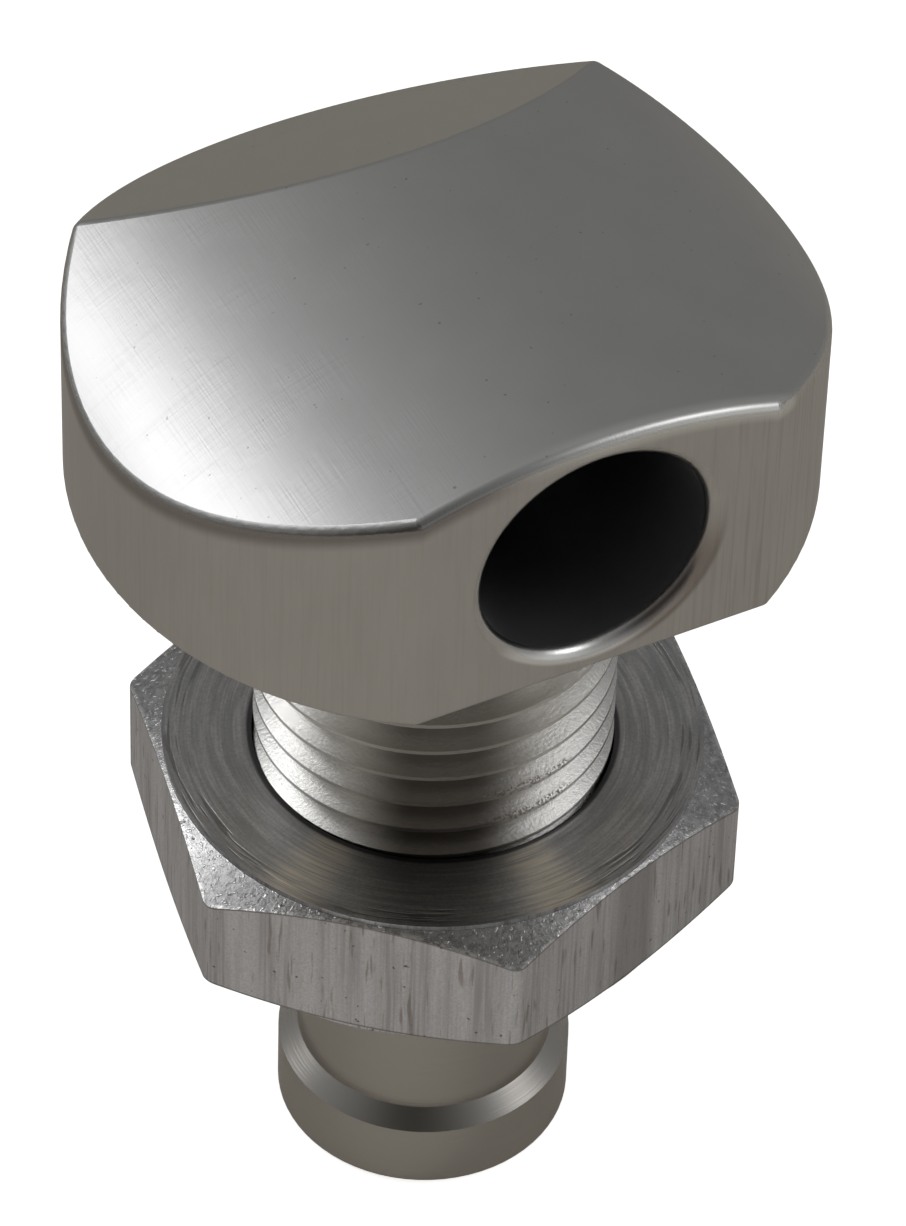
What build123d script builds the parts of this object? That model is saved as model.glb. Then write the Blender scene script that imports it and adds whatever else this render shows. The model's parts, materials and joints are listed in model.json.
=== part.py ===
"""Right-angle bulkhead hose outlet with a jam nut.

Frame: +Z up along the shank, origin at the centre of the head's underside, where the fitting seats
on its panel. The outlet opens towards -Y. Millimetres.
"""

import os
from math import cos, radians, tan

from build123d import *

# Head: round bar, domed along Y, sloped at the back, with a milled flat at the front
head_d = 25.4
head_height = 10.1
dome_r = 21.15
front_flat_y = -10.95
ridge_y = 4.1
back_slope_deg = 31.0
head_edge_r = 0.4
seat_edge_r = 0.2

# Water passage: an outlet drilled from the flat meets a riser drilled up the shank
outlet_d = 8.2
outlet_z = 5.0
outlet_depth = 14.2
outlet_mouth_r = 0.5
drill_point_deg = 118.0
riser_d = 6.0
riser_mouth = 0.3

# Shank thread: 1/2-20, 60 degree form, right-hand
thread_major_d = 12.57
thread_pitch = 1.27
thread_form_deg = 60.0
thread_depth = 0.6134 * thread_pitch
thread_length = 19.05
groove_z = -0.418

# Hose tail with one barb
shank_length = 31.15
neck_d = 9.2
barb_d = 10.54
barb_land = 2.75
barb_cone = 0.6
tail_edge = 0.12

# Jam nut for a 3/4 in spanner, its thread cut just outside the shank's crests
nut_flats = 19.15
nut_thickness = 5.55
nut_top_z = -13.0
nut_corner_deg = 18.8
nut_corner_round = 0.6
nut_face_d = 18.9
nut_face_step = 0.2
nut_chamfer_deg = 24.0
nut_thread_clearance = 0.04
nut_thread_depth = 0.5413 * thread_pitch

head_r = head_d / 2
thread_r = thread_major_d / 2
flank_slope = tan(radians(thread_form_deg / 2))
nut_bottom_z = nut_top_z - nut_thickness
nut_corner_r = nut_flats / 2 / cos(radians(30))
nut_bore_r = thread_r + nut_thread_clearance
overshoot = 0.05
beyond = 10.0


def on_seat(edge):
    """True for an edge that lies in the head's underside."""
    return all(abs((edge @ share).Z) < overshoot for share in (0, 0.5, 1))


def groove_turn(crest_r, depth, width, middle_z):
    """One right-hand turn of a 60 degree groove, starting over +X with its middle at middle_z.

    It is depth deep from crest_r towards the axis, or away from it where depth is negative, and
    width wide at crest_r.
    """
    mouth_r = crest_r + (overshoot if depth > 0 else -overshoot)
    mouth_half = width / 2 + overshoot * flank_slope
    floor_half = width / 2 - abs(depth) * flank_slope
    with BuildPart(mode=Mode.PRIVATE) as turn:
        with BuildLine() as path:
            Helix(thread_pitch, thread_pitch, crest_r, center=(0, 0, middle_z))
        with BuildSketch(Plane.XZ):
            with BuildLine():
                Polyline(
                    (mouth_r, middle_z - mouth_half),
                    (mouth_r, middle_z + mouth_half),
                    (crest_r - depth, middle_z + floor_half),
                    (crest_r - depth, middle_z - floor_half),
                    close=True,
                )
            make_face()
        sweep(path=path.wires()[0], is_frenet=True)
    return turn.part


os.makedirs("parts", exist_ok=True)

# ---- outlet body: one billet piece, turned and then milled and drilled ----
with BuildPart() as outlet_body:
    # Turned blank: head, thread blank with a bevelled end, neck and barb
    with BuildSketch(Plane.XZ):
        with BuildLine():
            Polyline(
                (0, head_height),
                (head_r, head_height),
                (head_r, 0),
                (thread_r, 0),
                (thread_r, -thread_length + thread_depth),
                (thread_r - thread_depth, -thread_length),
                (neck_d / 2, -thread_length),
                (neck_d / 2, -shank_length + barb_land + barb_cone),
                (barb_d / 2, -shank_length + barb_land),
                (barb_d / 2, -shank_length + tail_edge),
                (barb_d / 2 - tail_edge, -shank_length),
                (0, -shank_length),
                close=True,
            )
        make_face()
    revolve(axis=Axis.Z)

    # Dome: one arc across the head, milled along Y
    with BuildSketch(Plane.XZ.offset(-head_r - beyond)):
        with Locations((0, head_height)):
            Rectangle(head_d + beyond, 2 * head_height)
        with Locations((0, head_height - dome_r)):
            Circle(dome_r, mode=Mode.SUBTRACT)
    extrude(amount=2 * (head_r + beyond), mode=Mode.SUBTRACT)

    # Back slope, from the ridge down to the rim
    with BuildSketch(Plane.YZ.offset(-head_r - beyond)):
        with BuildLine():
            back_y = head_r + beyond
            back_z = head_height - (back_y - ridge_y) * tan(radians(back_slope_deg))
            Polyline(
                (ridge_y, head_height),
                (back_y, back_z),
                (back_y, head_height + beyond),
                (ridge_y, head_height + beyond),
                close=True,
            )
        make_face()
    extrude(amount=2 * (head_r + beyond), mode=Mode.SUBTRACT)

    # Milled flat at the front
    with BuildSketch(Plane.XZ.offset(-front_flat_y)):
        Rectangle(head_d + beyond, 4 * head_height)
    extrude(amount=beyond, mode=Mode.SUBTRACT)

    # Outer edges of the head are rounded, and the rim of its seat is broken more lightly
    upper_edges = [
        edge
        for edge in outlet_body.edges()
        if (edge @ 0.5).Z > -overshoot and not on_seat(edge)
    ]
    fillet(upper_edges, radius=head_edge_r)
    seat_rim = [
        edge
        for edge in outlet_body.edges()
        if on_seat(edge) and (edge @ 0.5).length > thread_r + overshoot
    ]
    fillet(seat_rim, radius=seat_edge_r)

    # Outlet: drilled from the flat to just past the riser, its mouth rounded
    with BuildSketch(Plane.YZ):
        with BuildLine():
            drill_end_y = front_flat_y + outlet_depth
            drill_tip_y = drill_end_y + outlet_d / 2 / tan(radians(drill_point_deg / 2))
            Polyline(
                (front_flat_y - overshoot, outlet_z),
                (front_flat_y - overshoot, outlet_z + outlet_d / 2),
                (drill_end_y, outlet_z + outlet_d / 2),
                (drill_tip_y, outlet_z),
                close=True,
            )
        make_face()
    revolve(axis=Axis((0, 0, outlet_z), (0, 1, 0)), mode=Mode.SUBTRACT)
    outlet_circles = [
        edge
        for edge in outlet_body.edges().filter_by(GeomType.CIRCLE)
        if abs(edge.radius - outlet_d / 2) < overshoot
    ]
    mouth_edge = min(outlet_circles, key=lambda edge: edge.center().Y)
    fillet(mouth_edge, radius=outlet_mouth_r)

    # Riser: drilled up the middle of the shank into the outlet, countersunk at the tail
    with BuildSketch(Plane.XZ):
        with BuildLine():
            Polyline(
                (0, -shank_length - overshoot),
                (riser_d / 2 + riser_mouth + overshoot, -shank_length - overshoot),
                (riser_d / 2, -shank_length + riser_mouth),
                (riser_d / 2, outlet_z),
                (0, outlet_z),
                close=True,
            )
        make_face()
    revolve(axis=Axis.Z, mode=Mode.SUBTRACT)

    # Thread: grooved one turn at a time, from just under the head to past the blank's end
    for turns_down in range(2, 17):
        add(
            groove_turn(
                thread_r,
                thread_depth,
                thread_pitch * 7 / 8,
                groove_z - turns_down * thread_pitch,
            ),
            mode=Mode.SUBTRACT,
        )

# ---- jam nut: its crests lie in line with the shank's grooves ----
with BuildPart() as jam_nut:
    with BuildSketch(Plane.XY.offset(nut_bottom_z)):
        hexagon = RegularPolygon(nut_corner_r, 6, rotation=nut_corner_deg)
        fillet(hexagon.vertices(), radius=nut_corner_round)
    extrude(amount=nut_thickness)

    # The corners of both faces are turned down around a round face that stands a step proud
    for face_z, away in ((nut_top_z, 1), (nut_bottom_z, -1)):
        with BuildSketch(Plane.XZ):
            with BuildLine():
                rim_r = nut_corner_r + beyond
                drop = (rim_r - nut_face_d / 2) * tan(radians(nut_chamfer_deg))
                step_z = face_z - away * nut_face_step
                Polyline(
                    (nut_face_d / 2, step_z),
                    (rim_r, step_z - away * drop),
                    (rim_r, face_z + away * beyond),
                    (nut_face_d / 2, face_z + away * beyond),
                    close=True,
                )
            make_face()
        revolve(axis=Axis.Z, mode=Mode.SUBTRACT)

    # Bore, and its thread one turn at a time, with a short plain lead under each face
    Hole(nut_bore_r)

    for turns_down in range(11, 14):
        add(
            groove_turn(
                nut_bore_r,
                -nut_thread_depth,
                thread_pitch * 3 / 4,
                groove_z - (turns_down + 0.5) * thread_pitch,
            ),
            mode=Mode.SUBTRACT,
        )

pieces = {"outlet_body": outlet_body, "jam_nut": jam_nut}
for name, piece in pieces.items():
    piece.part.label = name
    export_step(piece.part, f"parts/{name}.step")
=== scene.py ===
"""Looks of a right-angle bulkhead hose outlet and its jam nut: satin, turned and drawn aluminium.

The frame is the CAD model's: +Z up along the shank, the outlet opening towards -Y, the origin at
the centre of the head's underside. Metres here; materials work in millimetres.
"""

from math import cos, pi, radians, sin, tan
from types import SimpleNamespace

import bmesh
import bpy
from mathutils import Matrix, Vector
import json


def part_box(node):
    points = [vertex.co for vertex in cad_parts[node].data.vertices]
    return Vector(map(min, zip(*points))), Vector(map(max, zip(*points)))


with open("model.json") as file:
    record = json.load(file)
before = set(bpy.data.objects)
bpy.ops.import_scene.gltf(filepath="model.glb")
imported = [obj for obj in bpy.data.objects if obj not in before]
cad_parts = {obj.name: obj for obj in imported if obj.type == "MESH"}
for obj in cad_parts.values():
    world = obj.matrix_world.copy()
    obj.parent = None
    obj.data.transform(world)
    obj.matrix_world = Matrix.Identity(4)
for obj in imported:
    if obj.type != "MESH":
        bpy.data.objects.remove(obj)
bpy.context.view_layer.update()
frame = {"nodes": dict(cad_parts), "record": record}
scene = bpy.context.scene
mm = 0.001

# ---- camera: a long lens, from the outlet's left and above ----
view_azimuth = -28.0
view_elevation = 44.76
view_roll = 1.84
view_distance = 0.2482
view_target = Vector((0, 0, -6.285 * mm))
lens_mm = 213.4
sensor_mm = 36.0
view_shift = (0.01267, -0.01891)
nearest_seen = 0.01

# ---- stage: a pale floor that curves up into a wall, and the table that the metal reflects ----
stage_radius = 0.42
stage_bend = 0.12
stage_height = 0.5
stage_paint = (0.9, 0.9, 0.89, 1.0)
stage_glow = 0.95
stage_gap = 0.05 * mm
stage_roughness = 0.9
table_radius = 0.4
table_bend = 0.01
table_paint = (0.80, 0.76, 0.69, 1.0)
table_glow = 0.05

# ---- light: an even room, and panels as azimuth, elevation, sharpness and strength ----
room_light = (0.21, 0.208, 0.205)
panels = {
    "window": (-139, 36, 80, 3.5),
    "window_top": (-136, 53, 120, 2.1),
    "window_glow": (-153, 51, 11, 0.22),
    "side": (61, 45, 48, 2.1),
    "low_side": (42, 14, 16, 0.3),
    "low_shade": (-55, 6, 12, -0.14),
    "camera_shade": (-32, 44, 6.5, -0.17),
}

# ---- dimensions of the part that its finishes follow, in millimetres ----
body_low, body_high = (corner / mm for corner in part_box("outlet_body"))
nut_low, nut_high = (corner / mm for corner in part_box("jam_nut"))
mounts = {mount["name"]: mount for mount in frame["record"]["mounts"]}
head_height = body_high.z
flat_y = body_low.y
tail_bottom = body_low.z
nut_top = nut_high.z
nut_bottom = nut_low.z
outlet_r = mounts["outlet_bore"]["dims"]["r_mm"]
outlet_z = mounts["outlet_bore"]["pos_m"][2] / mm
riser_r = mounts["tail_bore"]["dims"]["r_mm"]
thread_r = mounts["panel_shank"]["dims"]["r_mm"]
dome_r = 21.15
mouth_r = 0.5
bore_end_y = 5.2
thread_bottom = -19.05
nut_flats = 19.15
nut_corner_deg = 18.8
nut_face_r = 9.45
nut_face_step = 0.2
nut_chamfer_deg = 24.0
nut_bore_r = 6.325

# ---- bare metal: colours as a pair where a finish varies from one to the other ----
grazing_tint = (0.8, 0.79, 0.78, 1.0)
body_paint = {
    "dome": ((0.595, 0.60, 0.598), (0.655, 0.66, 0.658)),
    "slope": ((0.56, 0.55, 0.53), (0.62, 0.61, 0.59)),
    "walls": ((0.57, 0.558, 0.535), (0.66, 0.648, 0.625)),
    "tail": ((0.55, 0.53, 0.50), (0.60, 0.58, 0.55)),
    "shank": ((0.72, 0.715, 0.70), (0.90, 0.895, 0.88)),
    # bore: painted shade, from the mouth's tone to dark further in
    "bore": ((0.62, 0.63, 0.66), (0.2, 0.205, 0.22)),
    "rubbed": (0.43, 0.40, 0.37),
    # painted shade on the walls just under the dome's rim
    "under_rim": (0.28, 0.25, 0.24),
    "scuffs": (0.44, 0.44, 0.43),
    # painted highlight along the top edge of the outlet's flat
    "polished": (0.90, 0.90, 0.88),
    "crest": (0.84, 0.83, 0.81),
    # painted shade down the front of the thread
    "grime": (0.16, 0.145, 0.13),
    "burrs": (0.20, 0.13, 0.08),
    "dust": (0.18, 0.17, 0.16),
    # painted highlight on the lower edge of the outlet's mouth
    "lip": (0.92, 0.92, 0.91),
    # darker on the right of the outlet's mouth
    "mouth_stain": (0.26, 0.21, 0.19),
}
nut_paint = {
    "face": ((0.46, 0.46, 0.465), (0.69, 0.685, 0.68)),
    "wide_rings": (0.37, 0.37, 0.38),
    "face_grain": (0.28, 0.275, 0.28),
    "outer_rings": (0.15, 0.145, 0.14),
    # painted yellow reflection of the thread's highlights, in two places on the face
    "face_stain": (0.88, 0.81, 0.69),
    "chamfer": ((0.34, 0.34, 0.345), (0.70, 0.70, 0.71)),
    # painted highlight on one chamfer corner
    "shine": (0.97, 0.97, 0.97),
    "sides": ((0.57, 0.57, 0.61), (0.90, 0.91, 0.98)),
    "streaks": (0.96, 0.97, 1.0),
    "side_grain": (0.52, 0.51, 0.53),
    "side_stains": (0.32, 0.24, 0.22),
    "dark_streak": (0.38, 0.37, 0.38),
    "edge_line": (0.14, 0.11, 0.10),
    # painted glints along the upset edge
    "upset_edge": (0.96, 0.96, 0.96),
    # painted glints on the chamfers' cuts, strongest on the left
    "sparkle": (0.97, 0.97, 0.98),
    "pits": (0.12, 0.11, 0.10),
    # painted shade at the edge of the nut's hole
    "hole_rim": (0.06, 0.058, 0.06),
    # painted shade in the nut's bore
    "inside": (0.05, 0.048, 0.045),
}

# Roughness, as a pair where it varies
body_roughness = {
    "dome": (0.30, 0.34),
    "walls": (0.34, 0.42),
    "shank": (0.16, 0.30),
    "tail": 0.24,
    "edges": 0.24,
    "mouth": 0.25,
    "bore": 0.4,
}
nut_roughness = {
    "face": (0.28, 0.38),
    "chamfer": (0.20, 0.34),
    "sides": (0.42, 0.5),
    "upset_edge": 0.15,
    "shine": 0.16,
    "sparkle": 0.15,
    "inside": 0.6,
}
nut_brushing = 0.6

# Relief, in millimetres
body_relief = {
    "lines_along": 0.0035,
    "lines_across": 0.0025,
    "wall_lines": 0.006,
    "shank_grain": 0.018,
    "shank_lines": 0.004,
    "tail_lines": 0.003,
    "burrs": 0.015,
}
nut_relief = {
    "rings": 0.005,
    "face_grain": 0.003,
    "outer_rings": -0.01,
    "chamfer_coarse": 0.014,
    "chamfer_fine": 0.012,
    "streaks": 0.014,
    "side_grain": 0.008,
    "pits": -0.03,
    "scars": -0.008,
    "sparkle": 0.012,
}


class Graph:
    """A node tree, with one short method for each kind of node that the finishes use."""

    def __init__(self, tree):
        self.tree = tree
        tree.nodes.clear()

    def node(self, kind, **settings):
        made = self.tree.nodes.new(kind)
        for name, value in settings.items():
            setattr(made, name, value)
        return made

    def feed(self, socket, value):
        if isinstance(value, bpy.types.NodeSocket):
            self.tree.links.new(value, socket)
        else:
            socket.default_value = value

    def math(self, operation, *values, clamp=False):
        made = self.node("ShaderNodeMath", operation=operation, use_clamp=clamp)
        for socket, value in zip(made.inputs, values):
            self.feed(socket, value)
        return made.outputs[0]

    def minus(self, value, taken, clamp=False):
        return self.math("SUBTRACT", value, taken, clamp=clamp)

    def outside(self, mask):
        """Where a mask is 0."""
        return self.minus(1.0, mask)

    def total(self, *values):
        result = values[0]
        for value in values[1:]:
            result = self.math("ADD", result, value)
        return result

    def product(self, *values):
        result = values[0]
        for value in values[1:]:
            result = self.math("MULTIPLY", result, value)
        return result

    def vector(self, operation, *values):
        made = self.node("ShaderNodeVectorMath", operation=operation)
        for socket, value in zip(made.inputs, values):
            self.feed(socket, value)
        return made.outputs["Value" if operation in ("DOT_PRODUCT", "LENGTH") else "Vector"]

    def scale(self, vector, factor):
        made = self.node("ShaderNodeVectorMath", operation="SCALE")
        self.feed(made.inputs[0], vector)
        self.feed(made.inputs["Scale"], factor)
        return made.outputs["Vector"]

    def combine(self, x, y, z):
        made = self.node("ShaderNodeCombineXYZ")
        for socket, value in zip(made.inputs, (x, y, z)):
            self.feed(socket, value)
        return made.outputs[0]

    def separate(self, vector):
        made = self.node("ShaderNodeSeparateXYZ")
        self.feed(made.inputs[0], vector)
        return made.outputs

    def step(self, value, low, high, to_low=0.0, to_high=1.0):
        """Rises smoothly from to_low to to_high as value goes from low to high."""
        made = self.node("ShaderNodeMapRange", interpolation_type="SMOOTHSTEP")
        for socket, number in zip(made.inputs, (value, low, high, to_low, to_high)):
            self.feed(socket, number)
        return made.outputs[0]

    def fall(self, value, low, high):
        """1 up to low, falling smoothly to 0 at high."""
        return self.step(value, low, high, 1.0, 0.0)

    def band(self, value, low, high, blur):
        """1 between low and high, falling to 0 over blur on each side."""
        return self.product(self.step(value, low - blur, low), self.fall(value, high, high + blur))

    def sector(self, bearing, low, high, blur):
        """A band of bearings, in degrees: 0 is -Y, and 90 is +X."""
        return self.band(bearing, radians(low), radians(high), radians(blur))

    def noise(self, vector, scale, detail=2.0, roughness=0.5):
        made = self.node("ShaderNodeTexNoise")
        self.feed(made.inputs["Vector"], vector)
        self.feed(made.inputs["Scale"], scale)
        self.feed(made.inputs["Detail"], detail)
        self.feed(made.inputs["Roughness"], roughness)
        return made.outputs["Fac"]

    def grain(self, axes, steps, detail=2.0, roughness=0.5):
        """Noise that changes over a step of its own, in millimetres, along each of three axes."""
        stretched = [self.math("DIVIDE", axis, step) for axis, step in zip(axes, steps)]
        return self.noise(self.combine(*stretched), 1.0, detail, roughness)

    def specks(self, axes, steps, low, high):
        """Scattered spots: 1 where the noise is above high, 0 where it is below low."""
        return self.step(self.grain(axes, steps, detail=1.0), low, high)

    def mix(self, factor, a, b):
        made = self.node("ShaderNodeMix", data_type="FLOAT")
        self.feed(made.inputs[0], factor)
        self.feed(made.inputs[2], a)
        self.feed(made.inputs[3], b)
        return made.outputs[0]

    def tint(self, factor, a, b):
        made = self.node("ShaderNodeMix", data_type="RGBA")
        self.feed(made.inputs[0], factor)
        self.feed(made.inputs[6], opaque(a))
        self.feed(made.inputs[7], opaque(b))
        return made.outputs[2]

    def blend_vectors(self, factor, a, b):
        made = self.node("ShaderNodeMix", data_type="VECTOR")
        self.feed(made.inputs[0], factor)
        self.feed(made.inputs[4], a)
        self.feed(made.inputs[5], b)
        return made.outputs[1]

    def paint(self, base, *coats):
        """Colours laid one over another, each as strongly as its mask says."""
        for mask, coat in coats:
            base = self.tint(mask, base, coat)
        return base

    def finish(self, base, *patches):
        """Roughness laid one over another, each as strongly as its mask says."""
        for mask, patch in patches:
            base = self.mix(mask, base, patch)
        return base


def opaque(value):
    """A colour of three numbers with its alpha; anything else as it is."""
    return (*value, 1.0) if isinstance(value, tuple) and len(value) == 3 else value


def compass(azimuth, elevation):
    """A unit vector towards azimuth and elevation in degrees: 0 is -Y, and 90 is +X."""
    azimuth, elevation = radians(azimuth), radians(elevation)
    return Vector(
        (
            sin(azimuth) * cos(elevation),
            -cos(azimuth) * cos(elevation),
            sin(elevation),
        )
    )


def add_camera():
    back = compass(view_azimuth, view_elevation)
    right = compass(view_azimuth + 90, 0)
    up = back.cross(right)
    roll = radians(view_roll)
    image_x = cos(roll) * right + sin(roll) * up
    image_y = cos(roll) * up - sin(roll) * right
    data = bpy.data.cameras.new("camera")
    data.lens = lens_mm
    data.sensor_width = sensor_mm
    data.shift_x, data.shift_y = view_shift
    data.clip_start = nearest_seen
    camera = bpy.data.objects.new("camera", data)
    scene.collection.objects.link(camera)
    turn = Matrix((image_x, image_y, back)).transposed().to_4x4()
    camera.matrix_world = Matrix.Translation(view_target + back * view_distance) @ turn
    scene.camera = camera


def plain_material(name, paint, glow):
    """Matt paint that also glows a little in its own colour."""
    material = bpy.data.materials.new(name)
    material.use_nodes = True
    graph = Graph(material.node_tree)
    surface = graph.node("ShaderNodeBsdfPrincipled")
    surface.inputs["Base Color"].default_value = paint
    surface.inputs["Roughness"].default_value = stage_roughness
    surface.inputs["Specular IOR Level"].default_value = 0.0
    surface.inputs["Emission Color"].default_value = paint
    surface.inputs["Emission Strength"].default_value = glow
    output = graph.node("ShaderNodeOutputMaterial")
    graph.feed(output.inputs["Surface"], surface.outputs[0])
    return material


def bowl(name, radius, bend, height, floor_z):
    """A round floor that bends up into a wall."""
    bend_steps = 12
    turn_steps = 96
    profile = [(0.0, 0.0)]
    for step in range(bend_steps + 1):
        angle = step / bend_steps * pi / 2
        profile.append((radius - bend + bend * sin(angle), bend - bend * cos(angle)))
    profile.append((radius, height))
    mesh = bmesh.new()
    points = [mesh.verts.new((across, 0, floor_z + up)) for across, up in profile]
    edges = [mesh.edges.new(pair) for pair in zip(points, points[1:])]
    bmesh.ops.spin(
        mesh,
        geom=points + edges,
        cent=(0, 0, 0),
        axis=(0, 0, 1),
        angle=2 * pi,
        steps=turn_steps,
        use_merge=True,
    )
    bmesh.ops.remove_doubles(mesh, verts=mesh.verts, dist=0.01 * mm)
    bmesh.ops.recalc_face_normals(mesh, faces=mesh.faces)
    data = bpy.data.meshes.new(name)
    mesh.to_mesh(data)
    mesh.free()
    data.shade_smooth()
    made = bpy.data.objects.new(name, data)
    scene.collection.objects.link(made)
    made.visible_shadow = False
    made.visible_diffuse = False
    return made


def add_stage():
    """The pale stage is what the camera sees; the metal reflects a greyer table in its place."""
    floor_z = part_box("outlet_body")[0].z - stage_gap
    stage = bowl("stage", stage_radius, stage_bend, stage_height, floor_z)
    stage.visible_glossy = False
    stage.data.materials.append(plain_material("pale_stage", stage_paint, stage_glow))
    table = bowl("table", table_radius, table_bend, table_bend, floor_z)
    table.visible_camera = False
    table.data.materials.append(plain_material("grey_table", table_paint, table_glow))


def add_world():
    """Soft panels in a dim even room, each worked out from the direction alone."""
    world = bpy.data.worlds.new("studio")
    world.use_nodes = True
    scene.world = world
    graph = Graph(world.node_tree)
    direction = graph.node("ShaderNodeTexCoord").outputs["Generated"]
    light = Vector(room_light)
    for azimuth, elevation, sharpness, strength in panels.values():
        facing = graph.vector("DOT_PRODUCT", direction, compass(azimuth, elevation))
        share = graph.math("POWER", graph.math("MAXIMUM", facing, 0.0), sharpness)
        panel = graph.scale(Vector((strength, strength, strength)), share)
        light = graph.vector("ADD", light, panel)
    background = graph.node("ShaderNodeBackground")
    graph.feed(background.inputs["Color"], light)
    output = graph.node("ShaderNodeOutputWorld")
    graph.feed(output.inputs["Surface"], background.outputs[0])


def start_material(name):
    """A new metal, and at: where a point of it lies in millimetres, and which way it faces."""
    material = bpy.data.materials.new(name)
    material.use_nodes = True
    graph = Graph(material.node_tree)
    at = SimpleNamespace()
    at.place = graph.scale(graph.node("ShaderNodeTexCoord").outputs["Object"], 1 / mm)
    at.x, at.y, at.z = graph.separate(at.place)
    at.xyz = (at.x, at.y, at.z)
    at.outward = graph.combine(at.x, at.y, 0.0)
    at.radius = graph.vector("LENGTH", at.outward)
    at.bearing = graph.math("ARCTAN2", at.x, graph.product(at.y, -1.0))
    facing = graph.node("ShaderNodeNewGeometry").outputs["Normal"]
    _, at.normal_y, at.normal_z = graph.separate(facing)
    return material, graph, at


def finish_material(graph, base, roughness, height, brushed=0.0, tangent=None):
    """A metal with its relief's height in millimetres, its gloss drawn out along the tangent."""
    surface = graph.node("ShaderNodeBsdfPrincipled")
    surface.inputs["Metallic"].default_value = 1.0
    surface.inputs["Specular Tint"].default_value = grazing_tint
    surface.inputs["Anisotropic"].default_value = brushed
    if tangent is not None:
        graph.feed(surface.inputs["Tangent"], tangent)
    graph.feed(surface.inputs["Base Color"], base)
    graph.feed(surface.inputs["Roughness"], roughness)
    bump = graph.node("ShaderNodeBump")
    bump.inputs["Distance"].default_value = mm
    graph.feed(bump.inputs["Height"], height)
    graph.feed(surface.inputs["Normal"], bump.outputs[0])
    output = graph.node("ShaderNodeOutputMaterial")
    graph.feed(output.inputs["Surface"], surface.outputs[0])


def body_grain(graph, at):
    """Hairlines and grain of the body."""
    grain = SimpleNamespace()
    grain.along = graph.grain(at.xyz, (0.07, 4.0, 4.0))
    grain.across = graph.grain(at.xyz, (5.0, 0.08, 5.0))
    grain.wall_lines = graph.grain(at.xyz, (0.11, 0.11, 5.0))
    grain.wall_cloud = graph.grain(at.xyz, (0.9, 0.9, 3.0), detail=4.0)
    grain.turned = graph.grain(at.xyz, (3.0, 3.0, 0.06))
    grain.fine = graph.grain(at.xyz, (0.12, 0.12, 0.12), detail=4.0, roughness=0.7)
    grain.cloud = graph.grain(at.xyz, (2.2, 2.2, 2.2), detail=4.0)
    return grain


def body_regions(graph, at):
    """Where each finish of the body lies, but for the outlet."""
    on = SimpleNamespace()
    on.head = graph.step(at.z, -0.2, 0.0)
    on.top = graph.product(on.head, graph.step(at.normal_z, 0.35, 0.6))
    on.slope = graph.product(on.top, graph.step(at.normal_y, 0.2, 0.4))
    on.walls = graph.minus(on.head, on.top, clamp=True)
    on.edges = graph.product(on.head, graph.band(at.normal_z, 0.25, 0.6, 0.15))
    on.shank = graph.band(at.z, thread_bottom, -0.1, 0.1)
    on.tail = graph.fall(at.z, thread_bottom - 0.2, thread_bottom)
    return on


def outlet_regions(graph, at, on):
    """The bores, the outlet's rounded mouth with a painted highlight low on it, and a darker patch
    on its right.
    """
    from_outlet = graph.vector("LENGTH", graph.combine(at.x, 0.0, graph.minus(at.z, outlet_z)))
    in_outlet = graph.product(
        graph.fall(from_outlet, outlet_r + 0.02, outlet_r + 0.1),
        graph.band(at.y, flat_y + mouth_r, bore_end_y, 0.1),
    )
    in_riser = graph.product(
        graph.fall(at.radius, riser_r + 0.02, riser_r + 0.1),
        graph.band(at.z, tail_bottom + 1.0, outlet_z, 0.5),
    )
    on.bore = graph.math("MAXIMUM", in_outlet, in_riser)
    near_flat = graph.fall(at.y, flat_y + mouth_r, flat_y + mouth_r + 0.05)
    on.mouth = graph.product(
        graph.band(from_outlet, outlet_r, outlet_r + mouth_r - 0.15, 0.15), near_flat
    )
    # Painted highlight on the lower part of the mouth's rounding.
    on.lip = graph.product(on.mouth, graph.fall(at.z, outlet_z - 3.6, outlet_z - 2.6))
    on.mouth_stain = graph.product(
        graph.band(from_outlet, outlet_r, outlet_r + mouth_r, 0.25),
        near_flat,
        graph.step(at.x, 0.6, 2.4),
        graph.fall(at.z, outlet_z - 2.0, outlet_z + 1.0),
    )


def head_marks(graph, at, on, grain):
    """Wear on the head: scuffs, dust and rubbed walls; also painted shade under the dome's rim and
    a painted highlight along the flat's top edge.
    """
    on.worn = graph.product(on.top, graph.step(grain.cloud, 0.42, 0.62, 0.35, 1.0))
    on.scuffs = graph.product(
        on.worn,
        graph.total(
            graph.step(grain.across, 0.5, 0.75, 0.0, 0.2),
            graph.step(grain.along, 0.5, 0.75, 0.0, 0.15),
        ),
        graph.step(at.x, -8.0, -3.0, 1.0, 0.1),
    )
    on.dust = graph.product(on.top, graph.specks(at.xyz, (0.22, 0.22, 0.22), 0.77, 0.80))
    on.rubbed = graph.product(
        on.walls,
        graph.step(grain.wall_lines, 0.45, 0.75),
        graph.step(at.x, 2.0, 6.0, 0.15, 0.5),
    )
    below_dome = graph.minus(
        graph.math("SQRT", graph.minus(dome_r**2, graph.product(at.x, at.x))),
        graph.total(at.z, dome_r - head_height),
    )
    # Painted shade on the walls just under the dome's rim, towards the front left.
    on.under_rim = graph.product(
        on.walls, graph.fall(below_dome, 0.3, 0.9), graph.fall(at.x, -5.0, -2.0)
    )
    # Painted highlight along the top edge of the flat, on its right part.
    on.polished = graph.product(
        on.head,
        graph.fall(at.y, flat_y + 0.35, flat_y + 0.75),
        graph.fall(below_dome, 0.35, 0.75),
        graph.step(at.x, -4.0, 1.0),
    )


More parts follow.
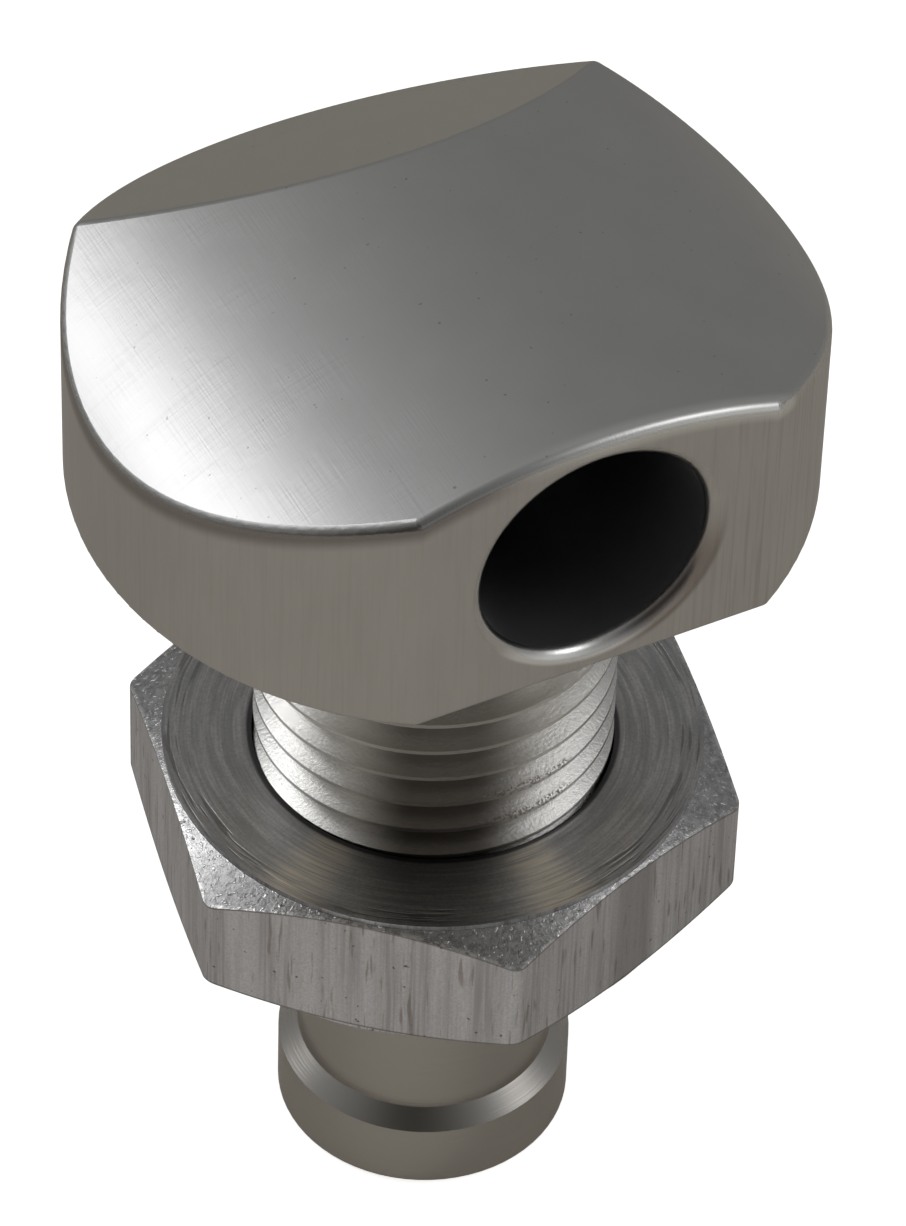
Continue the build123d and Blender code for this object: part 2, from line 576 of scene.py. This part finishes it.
def thread_marks(graph, at, on):
    """Worn crests, painted shade down the front of the thread, and brown burrs low on its right."""
    on.crest = graph.product(on.shank, graph.step(at.radius, thread_r - 0.1, thread_r - 0.02))
    # Painted shade down the front of the thread: darkest just above the nut, fading higher up and
    # below its top.
    on.grime = graph.product(
        on.shank,
        graph.sector(at.bearing, -34.0, -14.0, 26.0),
        graph.step(at.z, nut_top, nut_top + 11.0, 0.92, 0.35),
        graph.step(at.z, nut_top - 3.0, nut_top - 0.5, 0.4, 1.0),
    )
    on.burrs = graph.product(
        graph.step(at.radius, thread_r - 0.16, thread_r - 0.06),
        graph.specks(at.xyz, (0.09, 0.09, 0.07), 0.5, 0.65),
        graph.sector(at.bearing, -6.0, 16.0, 8.0),
        graph.band(at.z, nut_top + 1.2, nut_top + 3.4, 0.4),
    )


def body_colour(graph, at, on, grain):
    # Painted shade: the bore darkens further in from the flat.
    deeper = graph.step(at.y, flat_y + 1.0, flat_y + 8.0)
    return graph.paint(
        graph.tint(grain.cloud, *body_paint["dome"]),
        (on.slope, graph.tint(grain.cloud, *body_paint["slope"])),
        (on.walls, graph.tint(grain.wall_cloud, *body_paint["walls"])),
        (on.rubbed, body_paint["rubbed"]),
        (graph.product(on.under_rim, 0.8), body_paint["under_rim"]),
        (on.scuffs, body_paint["scuffs"]),
        (graph.product(on.polished, 0.75), body_paint["polished"]),
        (on.tail, graph.tint(grain.turned, *body_paint["tail"])),
        (on.shank, graph.tint(grain.fine, *body_paint["shank"])),
        (graph.product(on.crest, 0.5), body_paint["crest"]),
        (on.grime, body_paint["grime"]),
        (graph.product(on.burrs, 0.6), body_paint["burrs"]),
        (graph.product(on.dust, 0.5), body_paint["dust"]),
        (on.lip, body_paint["lip"]),
        (graph.product(on.mouth_stain, 0.7), body_paint["mouth_stain"]),
        (on.bore, graph.tint(deeper, *body_paint["bore"])),
    )


def body_metal():
    """One satin billet: milled dome, sides and flat, turned thread and tail, and a bore darkened
    with painted shade.
    """
    material, graph, at = start_material("body_metal")
    grain = body_grain(graph, at)
    on = body_regions(graph, at)
    outlet_regions(graph, at, on)
    head_marks(graph, at, on, grain)
    thread_marks(graph, at, on)
    roughness = graph.finish(
        graph.mix(grain.cloud, *body_roughness["dome"]),
        (on.walls, graph.mix(grain.wall_cloud, *body_roughness["walls"])),
        (on.shank, graph.mix(grain.fine, *body_roughness["shank"])),
        (on.tail, body_roughness["tail"]),
        (on.edges, body_roughness["edges"]),
        (on.mouth, body_roughness["mouth"]),
        (on.bore, body_roughness["bore"]),
    )
    flat_walls = graph.minus(on.walls, on.edges, clamp=True)
    height = graph.total(
        graph.product(on.worn, grain.along, body_relief["lines_along"]),
        graph.product(on.worn, grain.across, body_relief["lines_across"]),
        graph.product(flat_walls, grain.wall_lines, body_relief["wall_lines"]),
        graph.product(on.shank, grain.fine, body_relief["shank_grain"]),
        graph.product(on.shank, grain.turned, body_relief["shank_lines"]),
        graph.product(on.tail, grain.turned, body_relief["tail_lines"]),
        graph.product(on.burrs, body_relief["burrs"]),
    )
    finish_material(graph, body_colour(graph, at, on, grain), roughness, height)
    return material


def nut_grain(graph, at):
    """Turned rings, drawn streaks and grain of the nut."""
    grain = SimpleNamespace()
    grain.ring_axes = (at.x, at.y, at.radius)
    grain.rings = graph.grain(grain.ring_axes, (2.6, 2.6, 0.07))
    grain.wide_rings = graph.grain(grain.ring_axes, (2.6, 2.6, 0.24), detail=4.0)
    grain.streaks = graph.grain(at.xyz, (0.11, 0.11, 6.0), detail=3.0)
    grain.wide_streaks = graph.grain(at.xyz, (0.8, 0.8, 14.0), detail=3.0)
    grain.cloud = graph.grain(at.xyz, (1.4, 1.4, 1.4), detail=4.0)
    grain.fine = graph.grain(at.xyz, (0.09, 0.09, 0.09), detail=3.0, roughness=0.7)
    grain.coarse = graph.grain(at.xyz, (0.26, 0.26, 0.26), detail=4.0, roughness=0.7)
    return grain


def nut_regions(graph, at):
    """Where each finish of the nut lies; what is neither face, side nor the bore painted with shade
    is a chamfer.
    """
    on = SimpleNamespace()
    upright = graph.math("ABSOLUTE", at.normal_z)
    on.below_face = graph.math("MINIMUM", graph.minus(nut_top, at.z), graph.minus(at.z, nut_bottom))
    on.face = graph.step(upright, 0.90, 0.97)
    on.off_face = graph.outside(on.face)
    on.sides = graph.product(
        graph.fall(upright, 0.3, 0.6), graph.step(at.radius, nut_face_r - 0.1, nut_face_r)
    )
    # Painted shade in the nut's bore, below the faces.
    on.inside = graph.product(
        graph.fall(at.radius, nut_bore_r + 0.9, nut_bore_r + 1.0),
        graph.step(on.below_face, 0.0, 0.03),
    )
    on.chamfer = graph.product(on.off_face, graph.outside(on.sides), graph.outside(on.inside))
    return on


def face_marks(graph, at, on, grain):
    """Deeper rings near the face's rim, a painted yellow reflection of the thread in two places,
    and painted shade at the hole's edge.
    """
    on.outer_rings = graph.product(
        graph.band(at.radius, nut_face_r - 0.75, nut_face_r - 0.15, 0.15),
        graph.specks(grain.ring_axes, (2.4, 2.4, 0.13), 0.52, 0.62),
    )
    # Painted yellow reflection of the thread's highlights in the face, at two bearings.
    on.face_stain = graph.product(
        on.face,
        graph.total(
            graph.sector(at.bearing, -60.0, -56.0, 9.0),
            graph.sector(at.bearing, 0.0, 4.0, 9.0),
        ),
        graph.step(grain.rings, 0.3, 0.7, 0.3, 1.0),
    )
    # Painted shade on the face at the hole's edge.
    on.hole_rim = graph.product(
        on.face, graph.fall(at.radius, nut_bore_r + 0.12, nut_bore_r + 0.26)
    )


def flat_marks(graph, at, on):
    """Stains, one dark streak, pits and scars on the flats, and their line along each chamfer."""
    on.side_stains = graph.specks(at.xyz, (0.18, 0.18, 2.0), 0.61, 0.74)
    on.dark_streak = graph.sector(at.bearing, 17.0, 23.0, 5.0)
    on.pits = graph.product(
        on.off_face, graph.specks(at.xyz, (0.24, 0.24, 0.24), 0.74, 0.79)
    )
    on.scars = graph.product(on.sides, graph.specks(at.xyz, (0.5, 0.5, 0.14), 0.64, 0.72))
    chamfer_depth = graph.total(
        nut_face_step,
        graph.product(graph.minus(at.radius, nut_face_r), tan(radians(nut_chamfer_deg))),
    )
    on.edge_line = graph.product(
        on.sides, graph.band(graph.minus(on.below_face, chamfer_depth), 0.0, 0.05, 0.04)
    )


def chamfer_marks(graph, at, on):
    """A painted highlight on one corner, cuts with painted glints, and the upset edge where a
    chamfer meets the flats, with painted glints along it.
    """
    # Painted highlight on the left chamfer corner, which is also made glossier.
    on.shine = graph.product(on.chamfer, graph.sector(at.bearing, -108.0, -84.0, 13.0))
    # Cuts in the chamfer, with relief and gloss, and glints painted on them, strongest on the left.
    on.sparkle = graph.product(
        on.chamfer,
        graph.specks(at.xyz, (0.17, 0.17, 0.17), 0.6, 0.7),
        graph.step(at.x, -6.0, -3.0, 1.0, 0.5),
    )
    across = 0.0
    for turn in range(3):
        angle = radians(nut_corner_deg + 30 + 60 * turn)
        along = graph.vector("DOT_PRODUCT", at.place, Vector((cos(angle), sin(angle), 0)))
        across = graph.math("MAXIMUM", across, graph.math("ABSOLUTE", along))
    # The upset edge, glossier, with glints painted along it.
    on.upset_edge = graph.product(
        on.chamfer,
        graph.step(across, nut_flats / 2 - 0.16, nut_flats / 2 - 0.05),
        graph.specks(at.xyz, (0.3, 0.3, 0.3), 0.42, 0.52),
    )


def nut_colour(graph, on, grain):
    face = graph.paint(
        graph.tint(graph.step(grain.rings, 0.25, 0.75), *nut_paint["face"]),
        (graph.step(grain.wide_rings, 0.4, 0.65, 0.0, 0.6), nut_paint["wide_rings"]),
        (graph.step(grain.fine, 0.4, 0.65, 0.0, 0.35), nut_paint["face_grain"]),
        (graph.product(on.outer_rings, 0.5), nut_paint["outer_rings"]),
        (on.face_stain, nut_paint["face_stain"]),
    )
    chamfer = graph.paint(
        graph.tint(graph.step(grain.coarse, 0.25, 0.75), *nut_paint["chamfer"]),
        (graph.product(on.shine, 0.3), nut_paint["shine"]),
    )
    sides = graph.paint(
        graph.tint(graph.step(grain.wide_streaks, 0.3, 0.7), *nut_paint["sides"]),
        (graph.step(grain.streaks, 0.35, 0.65, 0.0, 0.6), nut_paint["streaks"]),
        (graph.step(grain.fine, 0.35, 0.65, 0.0, 0.35), nut_paint["side_grain"]),
        (graph.product(on.side_stains, 0.55), nut_paint["side_stains"]),
        (graph.product(on.dark_streak, 0.6), nut_paint["dark_streak"]),
    )
    return graph.paint(
        graph.tint(on.face, chamfer, face),
        (on.sides, sides),
        (graph.product(on.edge_line, 0.6), nut_paint["edge_line"]),
        (graph.product(on.upset_edge, 0.9), nut_paint["upset_edge"]),
        (graph.product(on.sparkle, 0.85), nut_paint["sparkle"]),
        (graph.product(on.pits, 0.75), nut_paint["pits"]),
        (graph.product(on.hole_rim, 0.9), nut_paint["hole_rim"]),
        (on.inside, nut_paint["inside"]),
    )


def nut_metal():
    """Faces turned in rings, chamfers cut rough, and flats left as drawn, with streaks and pits."""
    material, graph, at = start_material("nut_metal")
    grain = nut_grain(graph, at)
    on = nut_regions(graph, at)
    face_marks(graph, at, on, grain)
    flat_marks(graph, at, on)
    chamfer_marks(graph, at, on)
    roughness = graph.finish(
        graph.mix(grain.coarse, *nut_roughness["chamfer"]),
        (on.face, graph.mix(grain.wide_rings, *nut_roughness["face"])),
        (on.sides, graph.mix(grain.cloud, *nut_roughness["sides"])),
        (on.upset_edge, nut_roughness["upset_edge"]),
        (graph.product(on.shine, 0.6), nut_roughness["shine"]),
        (on.sparkle, nut_roughness["sparkle"]),
        (on.inside, nut_roughness["inside"]),
    )
    height = graph.total(
        graph.product(on.face, grain.rings, nut_relief["rings"]),
        graph.product(on.face, grain.fine, nut_relief["face_grain"]),
        graph.product(on.face, on.outer_rings, nut_relief["outer_rings"]),
        graph.product(on.chamfer, grain.coarse, nut_relief["chamfer_coarse"]),
        graph.product(on.chamfer, grain.fine, nut_relief["chamfer_fine"]),
        graph.product(on.sides, grain.streaks, nut_relief["streaks"]),
        graph.product(on.sides, grain.fine, nut_relief["side_grain"]),
        graph.product(on.pits, nut_relief["pits"]),
        graph.product(on.scars, nut_relief["scars"]),
        graph.product(on.sparkle, nut_relief["sparkle"]),
    )
    around = graph.vector("CROSS_PRODUCT", at.outward, Vector((0, 0, 1)))
    tangent = graph.blend_vectors(on.sides, at.outward, around)
    base = nut_colour(graph, on, grain)
    finish_material(graph, base, roughness, height, nut_brushing, tangent)
    return material


scene.view_settings.view_transform = "Standard"
add_camera()
add_stage()
add_world()

for node, material in (("outlet_body", body_metal()), ("jam_nut", nut_metal())):
    slots = frame["nodes"][node].data.materials
    slots.clear()
    slots.append(material)
